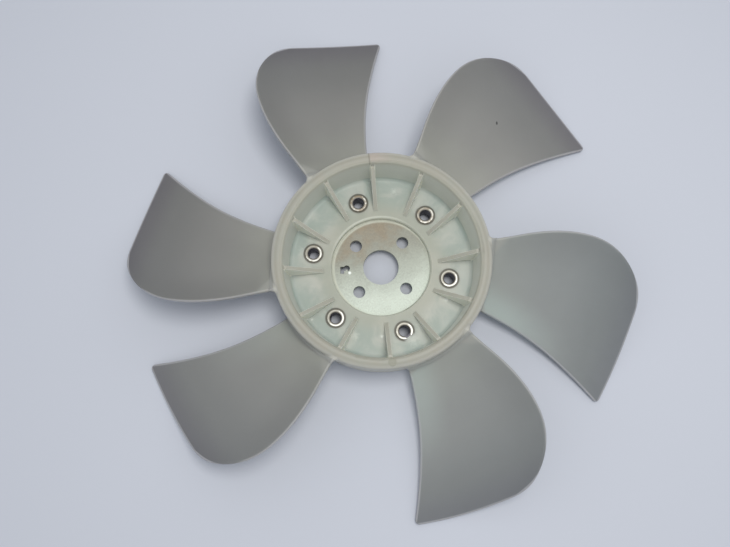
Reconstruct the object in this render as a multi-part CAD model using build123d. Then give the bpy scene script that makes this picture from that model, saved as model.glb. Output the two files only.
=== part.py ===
import os
from math import cos, hypot, radians, sin, sqrt, tan

from build123d import *

# An axial cooling-fan impeller. One plastic moulding carries six unevenly spaced
# blades on a deep ribbed ring. Its floor is moulded over a round steel mounting
# plate, and six tubular rivets clamp floor and plate together.
# Origin: centre of the bore, on the plate's front face. +Z points out of the
# open, ribbed side. +X and +Y lie in the plate's face. Sizes are millimetres and
# angles are degrees.

# Ring and floor of the moulding
tip_diameter = 380.0  # over the blade tips
ring_diameter = 158.0  # outside of the ring
ring_rise = 37.5  # rim above the plate's front face
ring_drop = 11.0  # back rim below the plate's front face
rim_width = 8.0  # across the rim, from the outside to the inner wall
rim_outer_round = 4.0
rim_inner_round = 2.5
back_rim_round = 1.2
wall_draft = 3.5  # so the inner wall opens towards the rim
floor_front = 4.5  # plastic over the plate's front face
floor_back = 3.5  # plastic over the plate's back face
floor_corner_round = 3.0  # between floor and inner wall
floor_lip_round = 1.2  # round the opening that shows the plate
plate_opening = 75.0  # diameter of that opening, front and back

# Ribs
rib_count = 12
rib_first_angle = 5.0
rib_thickness = 2.6
rib_wall_height = 25.0  # above the floor, at the inner wall
rib_foot_radius = 43.0  # where the sloping top edge meets the floor
rib_draft = 0.6  # on each side

# Mounting plate
plate_diameter = 124.0
plate_thickness = 3.5
bore_diameter = 27.0
bolt_circle = 50.5
bolt_hole = 9.2
bolt_count = 4
bolt_first_angle = 49.2
slot_radius = 29.6  # centre of the locating slot
slot_angle = 184.4
slot_length = 3.0
slot_width = 5.4
eye_radius = 26.1  # centre of the round end that opens into the slot
eye_angle = 182.0
eye_diameter = 4.8
tongue_length = 3.4  # bent tongue left standing in the round end
tongue_width = 1.6
tongue_drop = 0.6  # below the plate's front face

# Tubular rivets
rivet_count = 6
rivet_circle = 104.3
rivet_first_angle = 49.25
rivet_outside = 10.4
rivet_inside = 8.0
rivet_mouth_round = 0.9
rivet_flange = 13.0
rivet_flange_thickness = 1.3
rivet_flange_round = 0.5
seat_clearance = 1.0  # gap round a flange in its seat
seat_depth = 0.6
split_rivet = 5  # the rivet whose front flange is cracked open
split_angle = 305.0  # direction of the crack
split_width = 4.4

# Blades
blade_angles = [52.2, -11.0, -61.2, -135.5, 176.5, 111.4]
blade_root_height = 14.7  # middle of the blade at the ring, above the plate
blade_tip_height = 9.4  # the same at the tip circle
blade_root_pitch = 26.7
blade_tip_pitch = 32.1
blade_root_camber = 78.0  # radius of the curve across the blade
blade_tip_camber = 95.0
blade_root_thickness = 4.0
blade_tip_thickness = 2.6
blade_edge_round = 1.1
blade_corner_round = 3.0  # at the pointed corner, seen from the front
blade_embedding = 3.0  # how far a blade's root reaches into the ring

# Edges of a blade, seen from the front: share of the span from the ring to the
# tip circle, and the angle from the blade's own radial line
high_root_angle = 21.0
high_root_turn = 8.0  # high edge against the radial line at the ring
high_edge = [(0.27, 19.7), (0.55, 17.2), (0.77, 12.9), (0.93, 7.0)]
high_edge_end = -0.5  # where it runs into the tip circle
low_edge_start = -21.7  # where it leaves the tip circle
low_edge = [(0.72, -18.9), (0.45, -16.4), (0.2, -14.9)]
low_root_angle = -14.5

# Blade surfaces: splines through a grid of points that is wider than the blade
surface_rows = 12
surface_angles = range(-28, 31, 2)
surface_tolerance = 0.02
slope_step = 1.0  # either side, where the slope of a surface is taken
upright_share = 0.99  # an edge steeper than this stays sharp

# Round moulding mark on the rim
pip_inset = 4.6  # its centre, in from the outside of the ring
pip_angle = 275.5
pip_diameter = 5.6
pip_depth = 0.3

ring_radius = ring_diameter / 2
tip_radius = tip_diameter / 2
floor_under = -plate_thickness - floor_back
wall_foot_radius = (
    ring_radius - rim_width - (ring_rise - floor_front) * tan(radians(wall_draft))
)
back_rim_radius = ring_radius - rim_width
seat_diameter = rivet_flange + 2 * seat_clearance
seat_front = floor_front - seat_depth
seat_back = floor_under + seat_depth
seam_angle = (blade_angles[0] + low_root_angle + blade_angles[1] + high_root_angle) / 2


def polar(radius, angle, height=0.0):
    """Point at a radius and an angle."""
    return (radius * cos(radians(angle)), radius * sin(radians(angle)), height)


def mix(start, end, share):
    return start + (end - start) * share


def nearest(vertices, x, y):
    """Vertex nearest to a point of the sketch."""
    return min(vertices, key=lambda v: hypot(v.X - x, v.Y - y))


def rod(diameter, bottom, top):
    """Round bar along Z between two heights."""
    return Pos(0, 0, bottom) * extrude(Circle(diameter / 2), top - bottom)


def turned(outline, rounds):
    """Solid of revolution. Rounds gives a radius for some of the outline's corners."""
    section = make_face(Polyline(*outline, close=True))
    for index, radius in rounds.items():
        section = fillet(nearest(section.vertices(), *outline[index]), radius)
    return revolve(Plane.XZ * section, Axis.Z)


def ring_and_floor():
    opening = plate_opening / 2
    outline = [
        (opening, floor_under),
        (back_rim_radius, floor_under),
        (back_rim_radius, -ring_drop),
        (ring_radius, -ring_drop),
        (ring_radius, ring_rise),
        (ring_radius - rim_width, ring_rise),
        (wall_foot_radius, floor_front),
        (opening, floor_front),
    ]
    rounds = {
        0: floor_lip_round,
        2: back_rim_round,
        3: back_rim_round,
        4: rim_outer_round,
        5: rim_inner_round,
        6: floor_corner_round,
        7: floor_lip_round,
    }
    # The turned body's seam lies between two blades.
    return Rot(0, 0, seam_angle) * turned(outline, rounds)


def rib(angle):
    """One rib: a drafted wall that slopes from the inner wall down to the floor."""
    reach = wall_foot_radius + rim_width / 2
    foot = floor_front - rib_thickness
    wall_top = floor_front + rib_wall_height
    side = Polyline(
        (rib_foot_radius, foot),
        (reach, foot),
        (reach, wall_top),
        (wall_foot_radius, wall_top),
        (rib_foot_radius, floor_front),
        close=True,
    )
    blank = extrude(Plane.XZ * make_face(side), 2 * rib_thickness, both=True)
    top_half = rib_thickness / 2
    foot_half = top_half + (wall_top - foot) * tan(radians(rib_draft))
    section = Polyline(
        (-foot_half, foot),
        (foot_half, foot),
        (top_half, wall_top),
        (-top_half, wall_top),
        close=True,
    )
    # The trim starts at the opening, so a rib never stands out over the plate.
    opening = plate_opening / 2
    trim = Pos(opening, 0, 0) * extrude(Plane.YZ * make_face(section), reach - opening)
    return Rot(0, 0, angle) * (blank & trim)


def blade_share(radius):
    """0 at the ring and 1 at the tip circle."""
    return (radius - ring_radius) / (tip_radius - ring_radius)


def blade_height(radius, angle):
    """Height of a blade's middle surface at a radius and an angle."""
    share = blade_share(radius)
    across = radius * radians(angle)
    slope = mix(tan(radians(blade_root_pitch)), tan(radians(blade_tip_pitch)), share)
    camber = mix(blade_root_camber, blade_tip_camber, share)
    height = mix(blade_root_height, blade_tip_height, share)
    return height + across * slope + across**2 / (2 * camber)


def half_thickness(radius, angle):
    """Half of a blade's thickness, measured along Z."""
    thickness = mix(blade_root_thickness, blade_tip_thickness, blade_share(radius))
    ahead = blade_height(radius, angle + slope_step)
    behind = blade_height(radius, angle - slope_step)
    slope = (ahead - behind) / (2 * radius * radians(slope_step))
    return thickness / 2 * sqrt(1 + slope**2)


def blade_side(side):
    """Front (side 1) or back (side -1) surface of a blade, wider than the blade."""
    spare = 2 * blade_embedding
    rows = []
    for step in range(surface_rows + 1):
        radius = mix(ring_radius - spare, tip_radius + spare, step / surface_rows)
        row = []
        for angle in surface_angles:
            offset = side * half_thickness(radius, angle)
            row.append(polar(radius, angle, blade_height(radius, angle) + offset))
        rows.append(row)
    return Face.make_surface_from_array_of_points(rows, tol=surface_tolerance)


def blade_plan():
    """Outline of a blade seen from the front."""
    span = tip_radius - ring_radius
    root_radius = ring_radius - blade_embedding
    high_root = polar(root_radius, high_root_angle)
    low_root = polar(root_radius, low_root_angle)
    high = [polar(ring_radius + share * span, angle) for share, angle in high_edge]
    low = [polar(ring_radius + share * span, angle) for share, angle in low_edge]
    meet = polar(tip_radius, high_edge_end)
    point = polar(tip_radius, low_edge_start)
    tip_middle = polar(tip_radius, (high_edge_end + low_edge_start) / 2)
    along_root = polar(1, high_root_angle - high_root_turn)
    along_tip = polar(1, high_edge_end - 90)
    edges = [
        Spline(high_root, *high, meet, tangents=[along_root, along_tip]),
        ThreePointArc(meet, tip_middle, point),
        Spline(point, *low, low_root),
        ThreePointArc(low_root, (root_radius, 0), high_root),
    ]
    plan = make_face(edges)
    return fillet(nearest(plan.vertices(), *point[:2]), blade_corner_round)


def blade():
    """One blade along +X, with rounded edges and its root inside the ring."""
    prism = Pos(0, 0, -tip_radius) * extrude(blade_plan(), tip_diameter)
    over_back = extrude(blade_side(-1), tip_radius, dir=(0, 0, 1))
    under_front = extrude(blade_side(1), tip_radius, dir=(0, 0, -1))
    blank = (prism & over_back & under_front).solid()
    rims = []
    for edge in blank.edges():
        middle = edge.center()
        rise = abs((edge @ 1).Z - (edge @ 0).Z)
        upright = rise > upright_share * edge.length
        if hypot(middle.X, middle.Y) > ring_radius and not upright:
            rims.append(edge)
    return blank.fillet(blade_edge_round, rims)


def rivet_places():
    step = 360 / rivet_count
    angles = [rivet_first_angle + step * k for k in range(rivet_count)]
    return [Pos(*polar(rivet_circle / 2, angle)) for angle in angles]


def impeller():
    """The moulding: ring, floor, ribs and blades, less what the steel parts fill."""
    body = ring_and_floor()
    one_blade = blade()
    for angle in blade_angles:
        body += Rot(0, 0, angle) * one_blade
    for k in range(rib_count):
        body += rib(rib_first_angle + 360 / rib_count * k)
    body -= rod(plate_diameter, -plate_thickness, 0)
    for place in rivet_places():
        body -= place * rod(rivet_outside, floor_under, floor_front)
        # A seat is open to the rim, so a flange near the wall has its room too.
        body -= place * rod(seat_diameter, seat_front, ring_rise)
        body -= place * rod(seat_diameter, -ring_drop, seat_back)
    pip = Pos(*polar(ring_radius - pip_inset, pip_angle))
    body -= pip * rod(pip_diameter, ring_rise - pip_depth, ring_rise)
    return body


def mounting_plate():
    """Steel disc with the bore, bolt holes, rivet holes and the locating slot."""
    plate = rod(plate_diameter, -plate_thickness, 0)
    plate -= rod(bore_diameter, -plate_thickness, 0)
    for k in range(bolt_count):
        place = Pos(*polar(bolt_circle / 2, bolt_first_angle + 360 / bolt_count * k))
        plate -= place * rod(bolt_hole, -plate_thickness, 0)
    for place in rivet_places():
        plate -= place * rod(rivet_outside, -plate_thickness, 0)
    slot = Box(slot_length, slot_width, 2 * plate_thickness)
    plate -= Pos(*polar(slot_radius, slot_angle)) * slot
    eye = Pos(*polar(eye_radius, eye_angle))
    tongue_height = plate_thickness - tongue_drop
    tongue = Pos(0, -eye_diameter / 2, -plate_thickness + tongue_height / 2) * Box(
        tongue_width, tongue_length, tongue_height
    )
    plate -= eye * rod(eye_diameter, -plate_thickness, 0)
    return plate + eye * tongue


def rivet():
    """Tubular rivet: a tube with a rolled flange at each end."""
    inside = rivet_inside / 2
    outside = rivet_outside / 2
    rim = rivet_flange / 2
    top = seat_front + rivet_flange_thickness
    bottom = seat_back - rivet_flange_thickness
    outline = [
        (inside, bottom),
        (rim, bottom),
        (rim, seat_back),
        (outside, seat_back),
        (outside, seat_front),
        (rim, seat_front),
        (rim, top),
        (inside, top),
    ]
    rounds = {
        0: rivet_mouth_round,
        1: rivet_flange_round,
        6: rivet_flange_round,
        7: rivet_mouth_round,
    }
    return turned(outline, rounds)


def cracked_rivet():
    """The same rivet with a piece of its front flange broken out."""
    middle = seat_front + rivet_flange_thickness / 2
    away = (rivet_flange + rivet_inside / 2) / 2
    gap = Box(rivet_flange, split_width, rivet_flange_thickness)
    return rivet() - Rot(0, 0, split_angle) * Pos(away, 0, middle) * gap


def main():
    os.makedirs("parts", exist_ok=True)
    nodes = {"impeller": impeller(), "mounting_plate": mounting_plate()}
    for number, place in enumerate(rivet_places(), start=1):
        shape = cracked_rivet() if number == split_rivet else rivet()
        nodes[f"rivet_{number}"] = place * shape
    for name, shape in nodes.items():
        export_step(shape, f"parts/{name}.step")
        print(name, len(shape.solids()), round(shape.volume))


main()
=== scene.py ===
from math import asin, cos, pi, radians, sin, sqrt, tan
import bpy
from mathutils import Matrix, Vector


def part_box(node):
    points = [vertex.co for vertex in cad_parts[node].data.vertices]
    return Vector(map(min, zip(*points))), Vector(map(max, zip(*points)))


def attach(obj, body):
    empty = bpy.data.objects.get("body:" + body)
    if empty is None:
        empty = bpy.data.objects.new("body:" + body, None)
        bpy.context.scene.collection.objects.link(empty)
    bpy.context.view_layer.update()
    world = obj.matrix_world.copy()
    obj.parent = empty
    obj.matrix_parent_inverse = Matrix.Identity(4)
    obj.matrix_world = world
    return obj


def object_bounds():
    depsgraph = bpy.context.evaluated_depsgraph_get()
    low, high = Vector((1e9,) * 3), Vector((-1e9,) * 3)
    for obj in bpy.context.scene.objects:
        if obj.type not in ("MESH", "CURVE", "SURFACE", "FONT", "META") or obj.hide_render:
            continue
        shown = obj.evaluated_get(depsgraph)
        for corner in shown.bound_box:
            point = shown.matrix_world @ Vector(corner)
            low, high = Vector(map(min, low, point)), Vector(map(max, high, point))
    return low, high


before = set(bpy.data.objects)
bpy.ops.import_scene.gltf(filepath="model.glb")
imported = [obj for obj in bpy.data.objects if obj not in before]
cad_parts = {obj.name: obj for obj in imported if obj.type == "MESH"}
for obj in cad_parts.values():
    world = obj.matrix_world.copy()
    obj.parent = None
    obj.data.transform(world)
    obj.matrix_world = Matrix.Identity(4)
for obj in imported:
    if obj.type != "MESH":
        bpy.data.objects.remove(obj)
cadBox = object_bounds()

from types import SimpleNamespace

import bpy
from mathutils import Matrix, Vector

# Axial fan impeller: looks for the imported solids. Lengths in the dictionaries are
# millimetres, turns are degrees about the axis, and colours are screen values, 0 to 255.
# A fade is a smooth change: where it starts and ends, and its values there if not 0 and 1.
millimetre = 0.001
degree = pi / 180
print("frame loaded:", sorted(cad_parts))


# shader helpers
def screen(red, green, blue):
    linear = []
    for value in (red, green, blue):
        share = value / 255
        linear.append(share / 12.92 if share <= 0.04045 else ((share + 0.055) / 1.055) ** 2.4)
    return (*linear, 1.0)


def paints(look):
    return {name: screen(*colour) for name, colour in look["paint"].items()}


class Wire:  # an output socket, so that shader maths reads as plain arithmetic
    def __init__(self, finish, socket):
        self.finish = finish
        self.socket = socket

    def other(self, output):
        return Wire(self.finish, self.socket.node.outputs[output])

    def __add__(self, value):
        return self.finish.math("ADD", self, value)

    def __sub__(self, value):
        return self.finish.math("SUBTRACT", self, value)

    def __mul__(self, value):
        return self.finish.math("MULTIPLY", self, value)

    def __truediv__(self, value):
        return self.finish.math("DIVIDE", self, value)

    def __radd__(self, value):
        return self.finish.math("ADD", value, self)

    def __rsub__(self, value):
        return self.finish.math("SUBTRACT", value, self)

    def __rmul__(self, value):
        return self.finish.math("MULTIPLY", value, self)

    def __abs__(self):
        return self.finish.math("ABSOLUTE", self)

    def __lt__(self, value):
        return self.finish.math("LESS_THAN", self, value)

    def __gt__(self, value):
        return self.finish.math("GREATER_THAN", self, value)


class Finish:  # the nodes of one material, or of the world
    def __init__(self, name, world=None):
        self.owner = world or bpy.data.materials.new(name)
        self.owner.use_nodes = True
        self.tree = self.owner.node_tree
        self.tree.nodes.clear()

    def add(self, kind, settings=None, values=None, output=0):
        node = self.tree.nodes.new(kind)
        for key, value in (settings or {}).items():
            if key == "points":  # of a float curve
                curve = node.mapping.curves[0]
                curve.points[0].location = value[0]
                curve.points[1].location = value[-1]
                for point in value[1:-1]:
                    curve.points.new(*point)
                node.mapping.update()
            else:
                setattr(node, key, value)
        for key, value in (values or {}).items():
            if isinstance(value, Wire):
                self.tree.links.new(value.socket, node.inputs[key])
            else:
                node.inputs[key].default_value = value
        return Wire(self, node.outputs[output]) if node.outputs else node

    def math(self, operation, *values):
        return self.add("ShaderNodeMath", {"operation": operation}, dict(enumerate(values)))

    def vector(self, operation, values):
        return self.add("ShaderNodeVectorMath", {"operation": operation}, values)

    def fade(self, value, low, high, start=0.0, end=1.0):  # smooth change from start to end
        return self.add(
            "ShaderNodeMapRange",
            {"interpolation_type": "SMOOTHSTEP"},
            {0: value, 1: low, 2: high, 3: start, 4: end},
        )

    def mix(self, share, first, second):  # two colours
        values = {0: share, 6: first, 7: second}
        return self.add("ShaderNodeMix", {"data_type": "RGBA"}, values, output=2)

    def tone(self, colour, value):  # a colour made lighter or darker
        colour = colour if isinstance(colour, Wire) else colour[:3]
        return self.vector("SCALE", {"Vector": colour, "Scale": value})

    def cloud(self, place, scale, detail, roughness, distortion=0.0):
        values = {"Vector": place, "Scale": scale, "Detail": detail}
        values |= {"Roughness": roughness, "Distortion": distortion}
        return self.add("ShaderNodeTexNoise", None, values)

    def bump(self, height, distance, strength, under=None):
        values = {"Height": height, "Distance": distance * millimetre, "Strength": strength}
        if under is not None:
            values["Normal"] = under
        return self.add("ShaderNodeBump", None, values)

    def distance(self, x, y, centre=(0, 0)):
        across, up = x - centre[0], y - centre[1]
        return self.math("SQRT", across * across + up * up)

    def fold(self, turn, first, every):  # turn from the nearest of equally spaced things
        return self.math("WRAP", turn - first, every / 2, -every / 2)

    def places(self, clouds):
        # where a point is on the object, in millimetres and degrees, and how cloudy it is there
        start = self.add("ShaderNodeTexCoord", output="Object")
        at = SimpleNamespace(place=self.vector("SCALE", {"Vector": start, "Scale": 1 / millimetre}))
        at.x = self.add("ShaderNodeSeparateXYZ", None, {0: at.place})
        at.y, at.z = at.x.other("Y"), at.x.other("Z")
        for name, values in clouds.items():
            setattr(at, name, self.cloud(at.place, *values))
        return at

    def surface(self, values):
        shader = self.add("ShaderNodeBsdfPrincipled", None, values)
        self.add("ShaderNodeOutputMaterial", None, {"Surface": shader})
        return self.owner


# camera
cameraView = {
    "place": (-5.5, -99.2, 495.9),
    "tilt": 10.77,  # towards +Y, from straight down
    "sway": 0.77,
    "lens": 32.67,
    "sensor": 36.0,
    "nearest": 20,
    "farthest": 50000,
}


def addCamera():
    tilt, sway = radians(cameraView["tilt"]), radians(cameraView["sway"])
    right = Vector((cos(sway), 0, -sin(sway)))
    ahead = Vector((-cos(tilt) * sin(sway), sin(tilt), -cos(tilt) * cos(sway)))
    data = bpy.data.cameras.new("camera")
    data.lens = cameraView["lens"]
    data.sensor_width = cameraView["sensor"]
    data.clip_start = cameraView["nearest"] * millimetre
    data.clip_end = cameraView["farthest"] * millimetre
    camera = bpy.data.objects.new("camera", data)
    bpy.context.scene.collection.objects.link(camera)
    turn = Matrix((right, right.cross(ahead), -ahead)).transposed()
    place = Vector(cameraView["place"]) * millimetre
    camera.matrix_world = Matrix.Translation(place) @ turn.to_4x4()
    bpy.context.scene.camera = camera


addCamera()
print("camera placed")

# studio
studio = {
    "floorColour": (214, 219, 230),
    "floorRoughness": 0.9,
    "floorShine": 0.1,
    "floorSize": 6000,
    "floorDrop": 0.2,  # below the part, so that the back rim and the floor never share a plane
    "skyColour": (232, 234, 238),
    "skyStrength": 0.62,
    "keyPlace": (100, 20, 820),
    "keySize": 300,
    "keyPower": 2.85,
    "keyColour": (255, 252, 246),
}


def addStudio():
    size = studio["floorSize"] * millimetre / 2
    mesh = bpy.data.meshes.new("floor")
    corners = [(-size, -size), (size, -size), (size, size), (-size, size)]
    level = cadBox[0][2] - studio["floorDrop"] * millimetre
    mesh.from_pydata([(x, y, level) for x, y in corners], [], [(0, 1, 2, 3)])
    floor = bpy.data.objects.new("floor", mesh)
    bpy.context.scene.collection.objects.link(floor)
    values = {"Base Color": screen(*studio["floorColour"]), "Roughness": studio["floorRoughness"]}
    values |= {"Specular IOR Level": studio["floorShine"]}
    mesh.materials.append(Finish("paper").surface(values))

    data = bpy.data.lights.new("key", "AREA")
    data.shape = "DISK"
    data.size = studio["keySize"] * millimetre
    data.energy = studio["keyPower"]
    data.color = screen(*studio["keyColour"])[:3]
    key = bpy.data.objects.new("key", data)
    bpy.context.scene.collection.objects.link(key)
    key.location = Vector(studio["keyPlace"]) * millimetre
    key.rotation_euler = (-key.location).to_track_quat("-Z", "Y").to_euler()

    world = bpy.data.worlds.new("studio")
    bpy.context.scene.world = world
    sky = Finish("sky", world)
    rays = sky.add("ShaderNodeLightPath", output="Is Camera Ray")
    seen = sky.math("MAXIMUM", rays, rays.other("Is Glossy Ray"))  # full strength there
    strength = studio["skyStrength"] + seen * (1 - studio["skyStrength"])
    colour = screen(*studio["skyColour"])
    light = sky.add("ShaderNodeBackground", None, {"Color": colour, "Strength": strength})
    sky.add("ShaderNodeOutputWorld", None, {"Surface": light})
    bpy.context.scene.view_settings.view_transform = "Standard"


addStudio()
print("studio lit")

# shapes shared by shaders and meshes
hub = {
    "ringRadius": 79.0,
    "rise": 37.5,
    "outerRound": 4.0,
    "floorFront": 4.5,
    "openingRadius": 37.5,
    "rivetRadius": 52.15,
    "rivetTurn": 49.25,
    "rivetStep": 60.0,
    "seatRadius": 7.5,
    "boreRadius": 4.0,
    "ribHalf": 1.3,  # half the thickness, at the rib's front
    "ribFront": 29.5,
    "ribDraft": 0.0105,
    "ribTurn": 5.0,
    "ribStep": 30.0,
}
bladeShape = {
    "turns": [52.2, -11.0, -61.2, -135.5, 176.5, 111.4],
    "window": 24.5,  # a blade lies this close to its own turn
    "tipRadius": 190.0,
    "rootHeight": 14.7,
    "tipHeight": 9.4,
    "rootPitch": 26.7,
    "tipPitch": 32.1,
    "rootCamber": 78.0,
    "tipCamber": 95.0,
    "rootThickness": 4.0,
    "tipThickness": 2.6,
    # share of the span, and turn from the blade's own line
    "highEdge": [
        (0, 20.7),
        (0.08, 20.2),
        (0.27, 19.7),
        (0.55, 17.2),
        (0.77, 12.9),
        (0.93, 7.0),
        (1, -0.5),
    ],
    "lowEdge": [(0, -14.5), (0.2, -14.9), (0.45, -16.4), (0.72, -18.9), (1, -21.7)],
}


def between(start, end, share):
    return start + (end - start) * share


def onPlane(radius, turn):
    return radius * cos(radians(turn)), radius * sin(radians(turn))


def spanShare(radius):  # 0 at the ring, 1 at the tip
    return (radius - hub["ringRadius"]) / (bladeShape["tipRadius"] - hub["ringRadius"])


def bladeHeight(radius, turn, side):
    # height of the front (side 1) or back (side -1) of a blade
    share = spanShare(radius)
    rootSlope = tan(radians(bladeShape["rootPitch"]))
    pitchSlope = between(rootSlope, tan(radians(bladeShape["tipPitch"])), share)
    camber = between(bladeShape["rootCamber"], bladeShape["tipCamber"], share)
    height = between(bladeShape["rootHeight"], bladeShape["tipHeight"], share)
    thickness = between(bladeShape["rootThickness"], bladeShape["tipThickness"], share)

    def middle(at):
        across = radius * radians(at)
        return height + across * pitchSlope + across**2 / (2 * camber)

    slope = (middle(turn + 1) - middle(turn - 1)) / (2 * radius * radians(1))
    return middle(turn) + side * thickness / 2 * sqrt(1 + slope**2)


# moulding: the impeller and its root fillets
mouldingLook = {
    "paint": {
        "bladeRoot": (160, 161, 154),
        "bladeMiddle": (147, 147, 144),
        "bladeOuter": (128, 129, 128),
        "bladeTip": (114, 113, 117),
        "bladeCool": (138, 149, 153),
        "lowRoot": (166, 180, 176),
        "flare": (170, 171, 165),
        # painted highlight along the blades' rounded edges
        "bladeEdgeHighlight": (182, 183, 188),
        "rim": (164, 165, 154),
        "rimWarm": (165, 163, 151),
        # painted light on the rim's outer rounding and inner shoulder
        "rimOuterLightened": (189, 189, 180),
        "rimInnerLightened": (206, 206, 194),
        # painted highlight along the rim's crest
        "crestHighlight": (190, 191, 182),
        # paler than the plastic: painted light against the shade in the recess
        "wall": (214, 217, 209),
        "ribTop": (183, 183, 172),
        # painted light on the ribs' side faces
        "ribSideLightened": (236, 237, 228),
        # painted shade beside the ribs
        "ribFootShade": (166, 165, 154),
        "floorDeep": (172, 182, 174),
        "floorMilky": (200, 202, 194),
        "floorOuter": (178, 193, 191),
        "floorInner": (178, 180, 166),
        # painted highlight on the lip and painted light on the opening's wall
        "lipHighlight": (212, 216, 203),
        "grime": (84, 78, 62),
        "weld": (188, 177, 168),
        "pip": (142, 144, 128),
        "speck": (40, 40, 44),
        "frost": (240, 244, 238),
    },
    "roughness": 0.42,
    "roughSmall": 0.12,
    "roughFine": 0.06,
    "shine": 0.4,
    "milkiness": 0.3,  # share of the light that passes through the plastic
    "lightReach": 4.0,
    "lightReachColours": (1.0, 0.95, 0.8),
    "clouds": {"big": (0.022, 3, 0.5), "small": (0.11, 4, 0.55), "fine": (0.9, 3, 0.6)},
    "waves": (0.035, 2, 0.4),
    "wavesDepth": (1.0, 0.35),
    "grain": (1.4, 2, 0.6),
    "grainDepth": (0.05, 0.5),
    # blades: paler where the plastic is thick by the ring, darker where it thins to the tip
    "curveTurn": 80,  # the height of the edge curves stands for this many degrees
    "middleFade": (0.02, 0.42),
    "outerFade": (0.35, 0.85),
    "tipFade": (0.78, 1.0),
    # painted light: a tone for each blade, lighter on the blades towards +x and -y and darker on
    # those towards -x; the limit caps it towards the tips
    "bladePaintedLight": [1.04, 1.15, 1.11, 1.06, 0.9, 0.9],
    "bladePaintedLightLimit": (0.5, 0.9, 1.15, 1.03),
    "bladeCools": [0.0, 0.35, 0.25, 0.1, 0.0, 0.0],
    "bladeBase": 0.955,
    "bladeCloud": 0.05,
    "lowBandFade": (4, 26, 1, 0),  # across the blade
    "lowBandSpan": (0.75, 0.1),
    "lowBandLight": 0.09,
    "lowBandCool": 1.6,
    "highBandFade": (3, 30, 1, 0),
    "highBandSpan": (0.03, 0.12),
    "highBandDark": (0.5, 0.75, 0.14, 0.06),
    "edgeHighlightFade": (0.72, 1.8, 1, 0),
    "edgeHighlightSpan": (0.2, 0.6, 0.455, 0.65),
    "flareReach": 2.5,
    "flareHigh": (0, 12, 11, 0),
    "flareLow": (0, 8, 3, 0),
    "flareFade": (0.55, 1.15, 0.7, 0),
    # ring
    "rimWarmFade": (0.85, 1.2),
    "rimOuterLightFade": (75.0, 78.0),
    "rimInnerLightFade": (70.2, 73.0, 1, 0),
    "rimInnerLightSide": (-55, 10, 0.25, 1),
    "rimCloud": 0.09,
    "crestHighlightRadius": 73.6,
    "crestHighlightFade": (0.3, 1.6, 0.25, 0),
    "crestHighlightFrom": 35,
    "weldTurn": 96.7,
    "weldStart": (0, 1.2),
    "weldEnd": (8, 24, 0.65, 0),
    "weldRagged": 8,
    "weldInner": (70, 73),
    "weldLine": (0.2, 0.8, 0.4, 0),
    "weldFrom": 28,
    "pipPlace": (74.4, 275.5),
    "pipFade": (2.5, 3.3, 0.6, 0),
    "pipFrom": 30,
    "drawMarks": (0.3, 3, 0.6),
    "drawStretch": (1.0, 1.0, 0.05),
    "drawDepth": 0.16,
    # floor, cloudy because the plate shows through it in places
    "milk": (0.045, 4, 0.55, 0.6),
    "milkFade": (0.38, 0.66),
    "floorCloud": 0.08,
    "floorOuterFade": (50, 68, 0, 0.35),
    "floorInnerFade": (41, 54, 0.75, 0),
    "ragged": (0.6, 4, 0.7),
    "frostRagged": 1.8,
    "frostFade": (0.8, 1.9),
    # turn, radius, size and strength of frosted spots
    "frostSpots": [
        (-141.9, 65.7, 1.5, 0.8),
        (-110.3, 56.2, 4.5, 0.35),
        (-89.4, 53.3, 1.9, 0.8),
        (-56.6, 54.2, 5.0, 0.35),
        (-28.3, 55.2, 2.6, 0.8),
        (80.3, 59.6, 4.0, 0.35),
        (-67.0, 61.0, 6.0, 0.35),
        (169.0, 61.0, 5.0, 0.25),
    ],
    # wall, ribs and the lip of the opening: painted light on the wall and the ribs' sides, painted
    # shade beside the ribs, a painted highlight on the lip
    "wallCloud": 0.12,
    "wallLightLean": 0.0008,
    "wallRadius": 64,
    "wallFade": (1.0, 5),  # above the floor
    "rimFade": (-7, -3),  # below the rim
    "ribSideLightFade": (-0.16, -0.04),
    "ribWidth": (1.7, 2.6, 1, 0),
    "ribRise": (0.1, 1.2),
    "footShadeWidth": (2.2, 4.8, 0.15, 0),
    "footShadeSpan": (43, 50),
    "footShadeHeight": (0.4, 0.6, 1, 0),
    "lipWidth": 0.7,
    "lipFade": (0.7, 1.5, 1, 0),
    "lipFrom": 0.3,
    "lipEdge": 0.3,
    "lipLean": 0.35,
    "lipHighlightSide": (20, 42, 0.05, 0.75),
    "lipWallLight": 0.7,
    # grime in the seats round the rivets
    "seatFade": (-0.1, 0.7, 0.75, 0),
    "haloFade": (0.4, 3.2, 0.12, 0),
    "haloRagged": 1.6,
    "cleanPlace": (21.6, -54.6),  # where the broken rivet's seat is open and clean
    "cleanFade": (3.2, 5.6),
    # where one part of the moulding meets the next, from the ring's radius
    "ringFade": (-9, -6.5),
    "outerFaceFade": (-0.4, -0.1),
    "bladeFade": (0.1, 0.6),
    "speckPlace": (90.2, 111.3),
    "speckSize": (0.9, 1.5),
    "speckFade": (0.5, 1.1, 0.85, 0),
}


def fromHere(start, fade):  # a fade whose two ends are given from a radius or height
    return (start + fade[0], start + fade[1], *fade[2:])


def cloudTone(amount, cloud):
    return 1 - amount / 2 + amount * cloud


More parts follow.
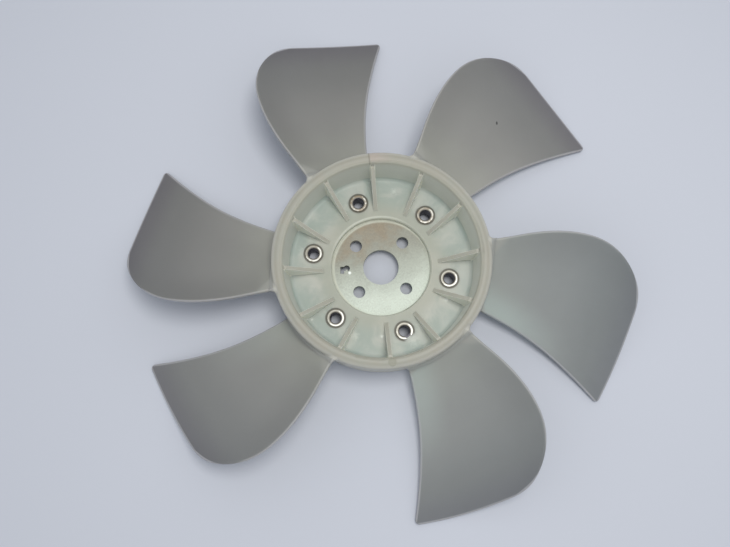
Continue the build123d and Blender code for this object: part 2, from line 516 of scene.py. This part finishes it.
def bladePaint(finish, at, paint):
    look, fade, mix = mouldingLook, finish.fade, finish.mix
    own, tone, cool = 0.0, 1.0, 0.0  # the nearest blade's turn, its tone of painted light and its coolness
    for index, bladeTurn in enumerate(bladeShape["turns"]):
        away = finish.fold(at.turn, bladeTurn, 360)
        near = abs(away) < bladeShape["window"]
        own = own + near * away
        tone = tone + near * (look["bladePaintedLight"][index] - 1)
        cool = cool + near * look["bladeCools"][index]
    edges, curveTurn = {}, look["curveTurn"]
    for name in ("highEdge", "lowEdge"):
        points = [(share, 0.5 + turn / curveTurn) for share, turn in bladeShape[name]]
        curve = finish.add("ShaderNodeFloatCurve", {"points": points}, {"Value": at.share})
        edges[name] = (curve - 0.5) * curveTurn
    fromHigh = (edges["highEdge"] - own) * at.radius * degree
    fromLow = (own - edges["lowEdge"]) * at.radius * degree
    fromTip = bladeShape["tipRadius"] - at.radius
    fromEdge = finish.math("MINIMUM", finish.math("MINIMUM", fromHigh, fromLow), fromTip)

    blade = mix(fade(at.share, *look["middleFade"]), paint["bladeRoot"], paint["bladeMiddle"])
    blade = mix(fade(at.share, *look["outerFade"]), blade, paint["bladeOuter"])
    blade = mix(fade(at.share, *look["tipFade"]), blade, paint["bladeTip"])
    lowBand = fade(fromLow, *look["lowBandFade"]) * fade(at.share, *look["lowBandSpan"])
    highBand = fade(fromHigh, *look["highBandFade"]) * fade(at.share, *look["highBandSpan"])
    blade = mix(cool, blade, paint["bladeCool"])
    blade = mix(lowBand * cool * look["lowBandCool"], blade, paint["lowRoot"])
    # painted light: the blade's own tone, capped towards the tip
    tone = finish.math("MINIMUM", tone, fade(at.share, *look["bladePaintedLightLimit"]))
    cloudy = look["bladeBase"] + look["bladeCloud"] * at.big + look["bladeCloud"] * at.small
    light = tone * cloudy + look["lowBandLight"] * lowBand
    light = light - highBand * fade(at.share, *look["highBandDark"])
    blade = finish.tone(blade, light)
    # painted highlight: a pale line along the blade's edges, where the rounded edge catches the
    # light
    line = fade(fromEdge, *look["edgeHighlightFade"]) * fade(at.share, *look["edgeHighlightSpan"])
    blade = mix(line, blade, paint["bladeEdgeHighlight"])
    reach = look["flareReach"] + fade(fromHigh, *look["flareHigh"])
    reach = reach + fade(fromLow, *look["flareLow"])
    flare = fade((at.radius - hub["ringRadius"]) / reach, *look["flareFade"])
    return mix(flare, blade, paint["flare"])


def ringPaint(finish, at, paint):
    look, fade, mix = mouldingLook, finish.fade, finish.mix
    rim = mix(fade(at.small + at.big, *look["rimWarmFade"]), paint["rim"], paint["rimWarm"])
    # painted light: the rim's outer rounding is paler, to offset its shade
    rim = mix(fade(at.radius, *look["rimOuterLightFade"]), rim, paint["rimOuterLightened"])
    # painted light: the rim's inner shoulder is paler to offset its shade, most towards +y
    inner = fade(at.radius, *look["rimInnerLightFade"]) * fade(at.y, *look["rimInnerLightSide"])
    rim = mix(inner, rim, paint["rimInnerLightened"])
    # painted highlight: a thin pale line along the crest of the rim
    crestHighlight = fade(abs(at.radius - look["crestHighlightRadius"]), *look["crestHighlightFade"])
    rim = mix(crestHighlight * (at.z > look["crestHighlightFrom"]), rim, paint["crestHighlight"])

    # weld line, with paler plastic behind it
    afterWeld = (look["weldTurn"] - at.turn) * at.radius * degree
    ragged = afterWeld + look["weldRagged"] * at.small
    front = at.z > look["weldFrom"]
    weld = fade(afterWeld, *look["weldStart"]) * fade(ragged, *look["weldEnd"]) * front
    rim = mix(weld * fade(at.radius, *look["weldInner"]), rim, paint["weld"])
    rim = mix(fade(abs(afterWeld), *look["weldLine"]) * front, rim, paint["grime"])

    pipAway = finish.distance(at.x, at.y, onPlane(*look["pipPlace"]))
    pip = fade(pipAway, *look["pipFade"]) * (at.z > look["pipFrom"])
    rim = finish.tone(mix(pip, rim, paint["pip"]), cloudTone(look["rimCloud"], at.small))

    # draw marks down the outer face
    drawn = finish.vector("MULTIPLY", {0: at.place, 1: look["drawStretch"]})
    marks = finish.cloud(drawn, *look["drawMarks"])
    onOuter = fade(at.radius, *fromHere(hub["ringRadius"], look["outerFaceFade"]))
    depth = look["drawDepth"]
    return finish.tone(rim, 1 + onOuter * (depth * marks - depth / 2))


def floorPaint(finish, at, paint):
    look, fade, mix = mouldingLook, finish.fade, finish.mix
    milk = finish.cloud(at.place, *look["milk"])
    floor = mix(fade(milk, *look["milkFade"]), paint["floorDeep"], paint["floorMilky"])
    floor = finish.tone(floor, cloudTone(look["floorCloud"], at.small))
    floor = mix(fade(at.radius, *look["floorOuterFade"]), floor, paint["floorOuter"])
    floor = mix(fade(at.radius, *look["floorInnerFade"]), floor, paint["floorInner"])
    ragged = look["frostRagged"] * finish.cloud(at.place, *look["ragged"])
    for turn, radius, size, strength in look["frostSpots"]:
        away = finish.distance(at.x, at.y, onPlane(radius, turn))
        frosted = fade(away / size + ragged, *look["frostFade"], strength, 0)
        floor = mix(frosted, floor, paint["frost"])
    return floor


def insidePaint(finish, at, paint, rim):
    look, fade, mix = mouldingLook, finish.fade, finish.mix
    small, radius, floorFront = at.small, at.radius, hub["floorFront"]
    # painted light: the wall is paler than the plastic to offset the shade in the recess, and
    # lighter still towards +x and -y
    light = cloudTone(look["wallCloud"], small)
    wall = finish.tone(paint["wall"], light + look["wallLightLean"] * (at.x - at.y))
    onWall = fade(at.z, *fromHere(floorFront, look["wallFade"])) * (radius > look["wallRadius"])
    inside = mix(onWall, floorPaint(finish, at, paint), wall)

    fold = finish.fold(at.turn, hub["ribTurn"], hub["ribStep"])
    fromRib = abs(radius * finish.math("SINE", fold * degree))
    halfThick = hub["ribHalf"] + (hub["ribFront"] - at.z) * hub["ribDraft"]
    # painted light: the ribs' side faces are painted paler than their tops, to offset the shade on
    # them
    onSide = fade(fromRib - halfThick, *look["ribSideLightFade"])
    rib = finish.tone(mix(onSide, paint["ribTop"], paint["ribSideLightened"]), light)
    # painted shade: a faint darker band on the floor beside each rib
    foot = fade(fromRib, *look["footShadeWidth"]) * fade(radius, *look["footShadeSpan"])
    foot = foot * fade(abs(at.z - floorFront), *look["footShadeHeight"])
    inside = mix(foot, inside, paint["ribFootShade"])
    onRib = fade(fromRib, *look["ribWidth"]) * fade(at.z, *fromHere(floorFront, look["ribRise"]))
    inside = mix(onRib, inside, rib)
    inside = mix(fade(at.z, *fromHere(hub["rise"], look["rimFade"])), inside, rim)

    # painted highlight on the lip's rounded edge, strongest towards +y, and painted light on the
    # opening's wall against the shade in its corner
    lipMiddle = hub["openingRadius"] + look["lipWidth"]
    lipHighlight = fade(abs(radius - lipMiddle), *look["lipFade"]) * (at.z > look["lipFrom"])
    paintShare = fade(at.y - look["lipLean"] * at.x, *look["lipHighlightSide"])
    onEdge = (radius < hub["openingRadius"] + look["lipEdge"]) * look["lipWallLight"]
    inside = mix(lipHighlight * finish.math("MAXIMUM", paintShare, onEdge), inside, paint["lipHighlight"])

    # grime in the seats round the rivets
    fold = finish.fold(at.turn, hub["rivetTurn"], hub["rivetStep"])
    foldX = radius * finish.math("COSINE", fold * degree) - hub["rivetRadius"]
    foldY = radius * finish.math("SINE", fold * degree)
    fromRivet = finish.distance(foldX, foldY)
    seat = fade(fromRivet, *fromHere(hub["seatRadius"], look["seatFade"]))
    ragged = fromRivet + look["haloRagged"] * small
    halo = fade(ragged, *fromHere(hub["seatRadius"], look["haloFade"]))
    fromClean = finish.distance(at.x, at.y, look["cleanPlace"])
    grimy = finish.math("MAXIMUM", seat, halo) * fade(fromClean, *look["cleanFade"])
    return mix(grimy, inside, paint["grime"])


def mouldingFinish():
    look, paint = mouldingLook, paints(mouldingLook)
    finish = Finish("milkyMoulding")
    fade, mix = finish.fade, finish.mix
    at = finish.places(look["clouds"])
    at.radius = finish.distance(at.x, at.y)
    at.turn = finish.math("ARCTAN2", at.y, at.x) * (1 / degree)
    at.share = spanShare(at.radius)

    rim = ringPaint(finish, at, paint)
    onRing = fade(at.radius, *fromHere(hub["ringRadius"], look["ringFade"]))
    colour = mix(onRing, insidePaint(finish, at, paint, rim), rim)
    onBlade = fade(at.radius, *fromHere(hub["ringRadius"], look["bladeFade"]))
    colour = mix(onBlade, colour, bladePaint(finish, at, paint))
    speckX = (at.x - look["speckPlace"][0]) / look["speckSize"][0]
    speckY = (at.y - look["speckPlace"][1]) / look["speckSize"][1]
    speck = fade(finish.distance(speckX, speckY), *look["speckFade"])
    colour = mix(speck, colour, paint["speck"])

    roughness = look["roughness"] + look["roughSmall"] * (at.small - 0.5)
    roughness = roughness + look["roughFine"] * at.fine
    waves = finish.bump(finish.cloud(at.place, *look["waves"]), *look["wavesDepth"])
    grain = finish.bump(finish.cloud(at.place, *look["grain"]), *look["grainDepth"], waves)
    values = {"Base Color": colour, "Roughness": roughness, "Normal": grain}
    values |= {"Specular IOR Level": look["shine"], "Subsurface Weight": look["milkiness"]}
    values |= {"Subsurface Radius": look["lightReachColours"]}
    values |= {"Subsurface Scale": look["lightReach"] * millimetre}
    return finish.surface(values)


# plate
plateLook = {
    "paint": {
        "zinc": (162, 166, 155),
        "paintedReflection": (203, 212, 201),
        "stain": (152, 138, 117),
        "shadowed": (148, 148, 137),
        "flash": (190, 193, 180),  # milky plastic that has crept over the edge
        # painted highlight along the edge of the flash
        "ridgeHighlight": (214, 218, 204),
        "glint": (244, 250, 246),
    },
    "metallic": 0.25,
    "roughness": 0.42,
    "flakeRoughness": 0.14,
    "broadRoughness": 0.1,
    "clouds": {"broad": (0.06, 4, 0.6), "fine": (0.8, 3, 0.6)},
    "flakeScale": 0.75,
    "base": 0.78,
    "flakeTone": 0.28,
    "fineTone": 0.12,
    "dents": (0.05, 0.5),
    "dentFlake": 0.6,
    # painted light: a painted reflection on the -y side, through the zinc, to painted shade on the
    # +y side
    "leanCloud": 14,
    "leanAcross": 0.25,
    "zincFade": (-22, 22),
    "shadowFade": (2, 34, 0, 0.85),
    "stainLean": (-0.004, 0.012),
    "stainFade": (0.6, 0.95, 0, 0.75),
    "handledFade": (15, 28, 0.1, 0),  # duller round the bore
    "handledLean": (-5, 20, 1, 0),
    "frontFrom": -0.1,
    "flashPlace": (0.8, -0.8),
    "flashRadius": 36.4,
    "flashFade": (-0.2, 0.3, 0, 0.85),
    "ridgeFade": (0.3, 0.9, 1, 0),
    "ridgeHighlightLean": (-25, 20, 0.05, 0.3),
    "glintPlace": (-23.8, -4.4),
    "glintFade": (0.7, 1.5, 0.9, 0),
}


def plateFinish():
    look, paint = plateLook, paints(plateLook)
    finish = Finish("galvanisedSteel")
    fade, mix = finish.fade, finish.mix
    at = finish.places(look["clouds"])
    crystals = {"Vector": at.place, "Scale": look["flakeScale"]}
    spangle = finish.add("ShaderNodeTexVoronoi", {"feature": "F1"}, crystals, output="Color")
    flake = finish.add("ShaderNodeSeparateColor", None, {0: spangle})

    # painted light: a painted reflection towards -y and painted shade towards +y, fading through
    # the zinc
    lean = at.y + look["leanCloud"] * at.broad - look["leanAcross"] * at.x
    colour = mix(fade(lean, *look["zincFade"]), paint["paintedReflection"], paint["zinc"])
    colour = mix(fade(lean, *look["shadowFade"]), colour, paint["shadowed"])
    stainX, stainY = look["stainLean"]
    stained = fade(at.broad + stainY * at.y + stainX * at.x, *look["stainFade"])
    colour = mix(stained, colour, paint["stain"])
    fromAxis = finish.distance(at.x, at.y)
    handled = fade(fromAxis, *look["handledFade"]) * fade(lean, *look["handledLean"])
    light = look["base"] + look["flakeTone"] * flake + look["fineTone"] * at.fine
    colour = finish.tone(colour, light - handled)

    fromFlash = finish.distance(at.x, at.y, look["flashPlace"]) - look["flashRadius"]
    onFront = at.z > look["frontFrom"]
    colour = mix(fade(fromFlash, *look["flashFade"]) * onFront, colour, paint["flash"])
    # painted highlight: a pale line along the edge of the flash, strongest towards -x and +y
    ridgeHighlight = fade(abs(fromFlash), *look["ridgeFade"]) * fade(at.y - at.x, *look["ridgeHighlightLean"])
    colour = mix(ridgeHighlight * onFront, colour, paint["ridgeHighlight"])
    glintAway = finish.distance(at.x, at.y, look["glintPlace"])
    colour = mix(fade(glintAway, *look["glintFade"]), colour, paint["glint"])

    roughness = look["roughness"] + look["flakeRoughness"] * flake
    roughness = roughness + look["broadRoughness"] * at.broad
    dents = finish.bump(at.fine + look["dentFlake"] * flake, *look["dents"])
    values = {"Base Color": colour, "Roughness": roughness, "Normal": dents}
    return finish.surface(values | {"Metallic": look["metallic"]})


# rivets
rivetLook = {
    "paint": {
        # partly bright zinc and partly a painted highlight
        "brightZincAndHighlight": (236, 236, 230),
        "dull": (172, 170, 160),
        "mouth": (128, 124, 116),
        "foot": (120, 110, 92),
        "tarnish": (140, 122, 96),
        # painted shade inside the rivet
        "bore": (84, 82, 92),
    },
    "metallic": 0.4,
    "roughness": 0.3,
    "patchRoughness": 0.2,
    "scratchRoughness": 0.1,
    "clouds": {"patch": (0.35, 4, 0.65), "scratch": (2.2, 3, 0.6)},
    "dents": (0.06, 0.5),
    "scratchTone": 0.12,
    "highlightLean": 0.035,  # painted highlight: brighter towards +x and -y
    "dullFade": (0.4, 0.65),
    "tarnished": {
        "rivet_1": 0.6,
        "rivet_2": 0.8,
        "rivet_3": 0.4,
        "rivet_4": 0.1,
        "rivet_5": 0.15,
        "rivet_6": 0.2,
    },
    "tarnishScratch": 0.3,
    "tarnishFade": (0.72, 0.9),
    "tarnishSpread": (0.3, 0.2),  # lower ends of that fade on a tarnished rivet
    "mouthRagged": 0.4,
    "mouthFade": (5.0, 5.6),
    "footRagged": 0.3,
    "footFade": (6.25, 6.55),
    "middle": -1.25,  # height, half way between the two flanges
    "flangeFade": (5.2, 5.4),  # from the middle
    "rolledFade": (0.05, 0.4),  # from the bore's radius
}


def rivetFinish(name, centre):
    look, paint = rivetLook, paints(rivetLook)
    finish = Finish("wornZinc_" + name)
    fade, mix = finish.fade, finish.mix
    at = finish.places(look["clouds"])
    away = finish.distance(at.x, at.y, centre)
    # partly bright zinc and partly a painted highlight: the flange is painted near white, and left
    # brightest towards +x and -y
    highlightSide = look["highlightLean"] * (at.x - centre[0]) - look["highlightLean"] * (at.y - centre[1])
    colour = mix(fade(at.patch - highlightSide, *look["dullFade"]), paint["brightZincAndHighlight"], paint["dull"])
    paintShare = look["tarnished"][name]
    ends = [end - paintShare * low for end, low in zip(look["tarnishFade"], look["tarnishSpread"])]
    tarnish = fade(at.patch + look["tarnishScratch"] * at.scratch, *ends, 0, paintShare)
    colour = mix(tarnish, colour, paint["tarnish"])
    mouth = fade(away + look["mouthRagged"] * at.patch, *look["mouthFade"])
    colour = mix(mouth, paint["mouth"], colour)
    foot = fade(away + look["footRagged"] * at.patch, *look["footFade"])
    colour = mix(foot, colour, paint["foot"])
    # painted shade: the bore and the tube between the flanges are painted dark
    onFlange = fade(abs(at.z - look["middle"]), *look["flangeFade"])
    rolled = fade(away, *fromHere(hub["boreRadius"], look["rolledFade"])) * onFlange
    colour = mix(rolled, paint["bore"], colour)
    colour = finish.tone(colour, cloudTone(look["scratchTone"], at.scratch))

    roughness = look["roughness"] + look["patchRoughness"] * at.patch
    roughness = roughness + look["scratchRoughness"] * at.scratch
    dents = finish.bump(at.scratch + at.patch, *look["dents"])
    values = {"Base Color": colour, "Roughness": roughness, "Normal": dents}
    return finish.surface(values | {"Metallic": look["metallic"]})


# fillets at the blade roots
filletShape = {
    "size": 2.8,
    "highSize": 4.2,  # at the high corner
    "highReach": 9,
    "cornerCut": 1.3,
    "cutAlong": 0.8,  # share of the cut along a long side
    "alongBlade": 28,
    "roundCorner": 5,
    "steps": 7,
    "sunk": 0.8,  # inner edge, buried in the ring and the blade
}


def polarPoint(radius, turn, height):
    return Vector((*onPlane(radius, turn), height)) * millimetre


def edgeTurn(radius, name):
    share = spanShare(radius)
    points = bladeShape[name]
    for (before, first), (after, second) in zip(points, points[1:]):
        if share <= after:
            return between(first, second, (share - before) / (after - before))
    return points[-1][1]


def sectionLoop(radius):
    # closed outline of a blade cut at a radius, as (distance round the ring, height)
    high, low = (radius * radians(edgeTurn(radius, name)) for name in ("highEdge", "lowEdge"))
    cut, count = filletShape["cornerCut"], filletShape["alongBlade"]
    along = cut * filletShape["cutAlong"]

    def skin(across, side):
        return Vector((across, bladeHeight(radius, across / radius / degree, side)))

    # the front runs from low to high, and the back from high to low
    corners = [skin(low, 1), skin(high, 1), skin(high, -1), skin(low, -1)]
    loop = []
    for index, corner in enumerate(corners):
        before, after = corners[index - 1], corners[(index + 1) % 4]
        arrive = corner + (before - corner).normalized() * cut
        leave = corner + (after - corner).normalized() * cut
        side = 1 if index < 2 else -1
        if index in (0, 2):  # a long side follows this corner
            leave = skin(corner.x + side * along, side)
        else:
            arrive = skin(corner.x - side * along, side)
        for step in range(filletShape["roundCorner"] + 1):
            share = step / filletShape["roundCorner"]
            loop.append(arrive.lerp(corner, share).lerp(corner.lerp(leave, share), share))
        if index in (0, 2):
            end = after.x - side * along
            for step in range(1, count):
                loop.append(skin(between(leave.x, end, step / count), side))
    return loop


def unrolledHeight(height):
    straight = hub["rise"] - hub["outerRound"]
    past = min(max(height - straight, 0) / hub["outerRound"], 1)
    return min(height, straight) + asin(past) * hub["outerRound"]


def ringPoint(across, height):
    # a point of the ring's outside, up its wall and over its rounded rim
    straight = hub["rise"] - hub["outerRound"]
    bend = min(max(height - straight, 0) / hub["outerRound"], pi / 2)
    past = max(height - straight - hub["outerRound"] * pi / 2, 0)
    radius = hub["ringRadius"] - hub["outerRound"] * (1 - cos(bend)) - past
    level = min(height, straight) + hub["outerRound"] * sin(bend)
    return radius, across / hub["ringRadius"] / degree, level


def filletRows():
    # for each point of the root's outline: a curve from the ring to the blade, and a buried point
    root = sectionLoop(hub["ringRadius"])
    flat = [Vector((p.x, unrolledHeight(p.y))) for p in root]
    highAcross = max(p.x for p in flat)
    rows = []
    for index, point in enumerate(flat):
        along = (flat[(index + 1) % len(flat)] - flat[index - 1]).normalized()
        outward = Vector((-along.y, along.x))
        nearHigh = max(0, 1 - (highAcross - point.x) / filletShape["highReach"])
        size = between(filletShape["size"], filletShape["highSize"], nearHigh * nearHigh)
        foot = point + outward * size
        wall = ringPoint(foot.x, foot.y)
        corner = ringPoint(point.x, point.y)
        reach = hub["ringRadius"] + size
        outer = sectionLoop(reach)[index]
        tip = (reach, outer.x / reach / degree, outer.y)
        inner = point - outward * filletShape["sunk"]
        buriedRadius = corner[0] - filletShape["sunk"]
        row = []
        for step in range(filletShape["steps"] + 1):
            share = step / filletShape["steps"]
            first = [between(a, b, share) for a, b in zip(wall, corner)]
            second = [between(a, b, share) for a, b in zip(corner, tip)]
            row.append([between(a, b, share) for a, b in zip(first, second)])
        row.append((buriedRadius, inner.x / hub["ringRadius"] / degree, inner.y))
        rows.append(row)
    return rows


def addFillets():
    rows = filletRows()
    count, width = len(rows), len(rows[0])
    verts, faces = [], []
    for bladeTurn in bladeShape["turns"]:
        start = len(verts)
        for row in rows:
            verts += [polarPoint(radius, turn + bladeTurn, level) for radius, turn, level in row]
        for index in range(count):
            here, there = start + index * width, start + (index + 1) % count * width
            for step in range(width):
                after = (step + 1) % width
                faces.append((here + step, there + step, there + after, here + after))
    mesh = bpy.data.meshes.new("rootFillets")
    mesh.from_pydata(verts, [], faces)
    mesh.update()
    for face in mesh.polygons:
        face.use_smooth = True
    for edge in mesh.edges:  # the band's ends and its hidden side keep their own normals
        first, second = (vertex % width for vertex in edge.vertices)
        edge.use_edge_sharp = first == second and first in (0, width - 2, width - 1)
    piece = bpy.data.objects.new("rootFillets", mesh)
    bpy.context.scene.collection.objects.link(piece)
    return piece


# assembly
def dress(piece, material):
    piece.data.materials.clear()
    piece.data.materials.append(material)


moulded = mouldingFinish()
dress(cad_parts["impeller"], moulded)
print("moulding finished")
dress(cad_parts["mounting_plate"], plateFinish())
print("plate finished")
for name in sorted(rivetLook["tarnished"]):
    low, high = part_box(name)
    centre = (low + high) / 2 / millimetre
    dress(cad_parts[name], rivetFinish(name, centre))
print("rivets finished")
fillets = addFillets()
dress(fillets, moulded)
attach(fillets, "root")
print("fillets added:", len(fillets.data.polygons), "faces")
